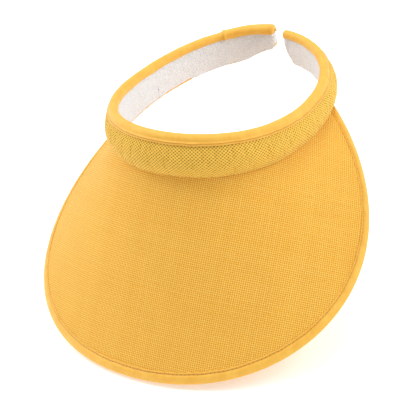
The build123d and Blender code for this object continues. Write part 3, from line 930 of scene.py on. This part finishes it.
def brim_cloth(name, side, node):
    """One face of the brim: its cloth from the fold inside the band to under the edge tape."""
    t = brim_stations(1.5)
    tt = t[:, None]
    face, back = (BRIM_OUT, BRIM_IN) if side > 0 else (-BRIM_OUT, -BRIM_IN)
    start, stop = seam_start(tt), brim_width(tt) - EDGE_MARGIN
    top = between(BAND_HEIGHT, tt) - seam_start(tt) - ALLOWANCE
    turned = TURNED_ROWS + BEND_ROWS

    def path(lift, rows):
        up = at(tt, SEAM_OFFSET + lift, top + ALLOWANCE * np.linspace(0, 1, TURNED_ROWS + 1)[None, :-1])
        bend = brim_bend(tt, lift, np.linspace(0, 1, BEND_ROWS + 1)[None, :-1])
        return np.concatenate([up, bend, brim_at(tt, start + (stop - start) * rows, lift)], 1)

    def laid_flat(rows):
        share = np.concatenate([np.full(turned, -0.001), rows])
        return flat_near[:, None] + (flat_far - flat_near)[:, None] * share[None, :, None]

    rows, back_rows = np.linspace(0, 1, BRIM_ROWS), np.linspace(0, 1, 3)
    outer = path(face, rows[None, :])
    column = np.arange(outer.shape[1])
    wave = smooth((column - 12) / 20) * smooth((outer.shape[1] - 1 - column) / 8)
    n = (brim_at(tt, start, 1.0) - brim_at(tt, start, 0.0)) * side
    near, far = brim_at(t, seam_start(t), face), brim_at(t, brim_width(t) - EDGE_MARGIN, face)
    flat_near, flat_far = unrolled(t, near, far)
    flat = laid_flat(rows)
    lift = (0.10 + 0.10 * ripple(flat[..., 0], flat[..., 1], 30, 80, 41 + side)) * wave[None]
    outer = outer + n * lift[..., None]
    inner = path(back, back_rows[None, :])[:, ::-1]
    points = np.concatenate([outer, inner], 1)
    uv = np.concatenate([flat, laid_flat(back_rows)[:, ::-1], flat[:, :1]], 1)
    obj = make_mesh(name, points, uv, True, (0, 1), brim_look, flip=side < 0)
    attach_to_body(obj, "visor_front")
    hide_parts(node)
    return obj


top_cloth = brim_cloth("brim_top_cloth", 1, "brim_top_fabric")
under_cloth = brim_cloth("brim_under_cloth", -1, "brim_under_fabric")
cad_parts["brim_core"].data.materials.clear()
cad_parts["brim_core"].data.materials.append(board_look)


STITCH_INSET, EDGE_LIP, EDGE_CROWN = 1.5, 0.22, 0.55
EDGE_ROWS = np.linspace(0, 1, 22)[None, 1:]
EDGE_AROUND = np.linspace(np.pi / 2, -np.pi / 2, 13)[None, 1:]
EDGE_FACE = LIP_ANGLE.shape[1] + 2 * EDGE_ROWS.shape[1] + EDGE_AROUND.shape[1]


def edge_tape():
    """The tape folded over the brim's edge: its top, its rounded edge and its underside, then
    back inside it. It swells between its stitched line and the edge."""
    t = brim_stations(0.9)
    tt = t[:, None]
    s = np.linalg.norm(np.diff(brim_at(t, brim_width(t), 0.0), axis=0), axis=1)
    u = np.concatenate([[0], np.cumsum(s)])[:, None]
    centre, reach = brim_width(tt) - TAPE_OUT, tape_start(tt)
    waver = 0.18 * ripple(u, 0 * u, 8, 26, 51)
    inset = np.minimum(reach + EDGE_LIP + waver * (centre - reach) / 8, centre - 0.2)
    lip_out, lip_lift = EDGE_LIP * np.cos(LIP_ANGLE), EDGE_LIP * np.sin(LIP_ANGLE)
    legs = [
        (inset - lip_out, TAPE_OUT - EDGE_LIP + lip_lift),
        (inset + (centre - inset) * EDGE_ROWS, TAPE_OUT + 0 * EDGE_ROWS),
        (centre + TAPE_OUT * np.cos(EDGE_AROUND), TAPE_OUT * np.sin(EDGE_AROUND)),
        (centre + (inset - centre) * EDGE_ROWS, -TAPE_OUT + 0 * EDGE_ROWS),
        (inset - lip_out, -TAPE_OUT + EDGE_LIP + lip_lift),
        (centre + (inset - centre) * np.array([[0.8, 0.4, 0.0]]), np.full((1, 3), -TAPE_IN)),
        (centre + TAPE_IN * np.cos(EDGE_AROUND[:, ::-1]), TAPE_IN * np.sin(EDGE_AROUND[:, ::-1])),
        (centre + (inset - centre) * np.array([[0.4, 0.8]]), np.full((1, 2), TAPE_IN)),
    ]
    width, lift = [np.concatenate([np.broadcast_to(leg[i], (len(t), leg[i].shape[1])) for leg in legs], 1)
                   for i in (0, 1)]
    uu = np.repeat(u, width.shape[1], 1)
    past = width - inset - STITCH_INSET
    crown = np.clip(past / np.maximum(0.5, centre - inset - STITCH_INSET), 0, 1)
    swollen = EDGE_CROWN * np.sin(np.pi * crown)
    swollen = swollen + 0.04 * ripple(uu, width, 5, 18, 52, stretch=0.6)
    swollen = swollen + 0.06 * ripple(uu, width, 18, 60, 53)
    pull = 0.30 + 0.08 * np.cos(2 * np.pi * uu / STITCH_PITCH)
    groove = np.exp(-((past / 0.6) ** 2)) * pull - 0.28 * np.exp(-(((past + 1.0) / 0.5) ** 2))
    shown = np.zeros(width.shape[1])
    shown[LIP_ANGLE.shape[1] - 1:EDGE_FACE] = 1
    grow = (swollen - groove) * shown * np.clip((centre - inset) / 6, 0, 1)
    lift = lift + np.sign(lift) * np.maximum(grow, -0.38) * (np.abs(lift) > 1.2)
    points = brim_at(tt, width, lift)
    closed = np.concatenate([points, points[:, :1]], 1)
    uv = np.stack([np.repeat(u, closed.shape[1], 1), lengths(closed)], 2)
    obj = make_mesh("brim_edge_tape", points, uv, True, (0, 1), tape_look)
    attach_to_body(obj, "visor_front")
    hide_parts("brim_edge_binding")


edge_tape()

# the edge tape's stitches are spaced by their length on the brim, not round the ring
stitch_line = np.linspace(-125, 125, 4001)
line = brim_at(stitch_line, tape_start(stitch_line) + STITCH_INSET, TAPE_OUT)
line_s = np.concatenate([[0], np.cumsum(np.linalg.norm(np.diff(line, axis=0), axis=1))])
centres = np.interp((np.arange(int(line_s[-1] / STITCH_PITCH)) + 0.5) * STITCH_PITCH, line_s, stitch_line)


def edge_stitches(name, side):
    """The row of stitches in the edge tape, on the brim's top or its underside."""
    s = np.linspace(-1, 1, STITCH_RINGS)
    middles = np.interp(centres, stitch_line, line_s)[:, None] + s[None, :] * STITCH_LENGTH / 2
    along = np.interp(middles, line_s, stitch_line)[..., None]

    def place(t, across, lift):
        t = np.broadcast_to(along, t.shape)
        return brim_at(t, tape_start(t) + STITCH_INSET + across, side * (TAPE_OUT - 0.28 + lift))

    obj = stitches(name, place, centres)
    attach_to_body(obj, "visor_front")
    return obj


top_row = edge_stitches("brim_top_stitches", 1)
under_row = edge_stitches("brim_under_stitches", -1)
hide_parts("brim_edge_thread")
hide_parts("brim_edge_thread")

# ---------------------------------------------------------------- camera, light and floor
AZIMUTH, ELEVATION, ROLL = np.radians([38.367, 30.643, -7.936])
EYE = (0.58099, -0.76928, 0.48103)
LENS, SENSOR = 126.36, 36.0
level = np.array([math.sin(AZIMUTH), -math.cos(AZIMUTH), 0.0]) * math.cos(ELEVATION)
back = level + np.array([0.0, 0.0, math.sin(ELEVATION)])
right = np.array([math.cos(AZIMUTH), math.sin(AZIMUTH), 0.0])
up = np.cross(back, right)
right, up = right * math.cos(ROLL) + up * math.sin(ROLL), up * math.cos(ROLL) - right * math.sin(ROLL)
camera = bpy.data.objects.new("camera", bpy.data.cameras.new("camera"))
camera.data.lens, camera.data.sensor_width = LENS, SENSOR
camera.data.clip_start, camera.data.clip_end = 0.05, 20
camera.matrix_world = Matrix([*np.stack([right, up, back, EYE], 1).tolist(), [0, 0, 0, 1]])
bpy.context.scene.collection.objects.link(camera)
bpy.context.scene.camera = camera


def area_light(name, place, target, size, power, colour=(1, 1, 1)):
    data = bpy.data.lights.new(name, "AREA")
    data.size, data.energy, data.color = size, power, colour
    obj = bpy.data.objects.new(name, data)
    obj.location = place
    obj.rotation_mode = "QUATERNION"
    obj.rotation_quaternion = (Vector(target) - Vector(place)).to_track_quat("-Z", "Y")
    bpy.context.scene.collection.objects.link(obj)


area_light("key", (-1.25, -0.30, 1.05), (0, -0.03, -0.03), 0.9, 14.5)
area_light("fill", (1.1, 0.5, 0.85), (0, -0.03, -0.03), 0.9, 10.5)
area_light("top", (0.05, 0.05, 1.3), (0, 0, 0), 0.6, 5.0)

world = bpy.data.worlds.new("studio")
world.use_nodes = True
world.node_tree.nodes["Background"].inputs[0].default_value = (1.0, 1.0, 1.0, 1.0)
world.node_tree.nodes["Background"].inputs[1].default_value = 0.55
bpy.context.scene.world = world
bpy.context.scene.view_settings.view_transform = "Standard"

floor_look = Look("pale_floor", 0.9, specular=0.1)
floor_look.shader.inputs["Base Color"].default_value = (0.95, 0.95, 0.95, 1)
floor_look.shader.inputs["Emission Color"].default_value = (1, 1, 1, 1)
floor_look.shader.inputs["Emission Strength"].default_value = 0.30
FLOOR_Z, FLOOR_REACH = CAD_BOX[0][2] - 0.002, 6
corners = [(x * FLOOR_REACH, y * FLOOR_REACH, FLOOR_Z) for x, y in ((-1, -1), (1, -1), (1, 1), (-1, 1))]
floor_mesh = bpy.data.meshes.new("floor")
floor_mesh.from_pydata(corners, [], [(0, 1, 2, 3)])
floor_mesh.materials.append(floor_look.mat)
floor = bpy.data.objects.new("floor", floor_mesh)
bpy.context.scene.collection.objects.link(floor)
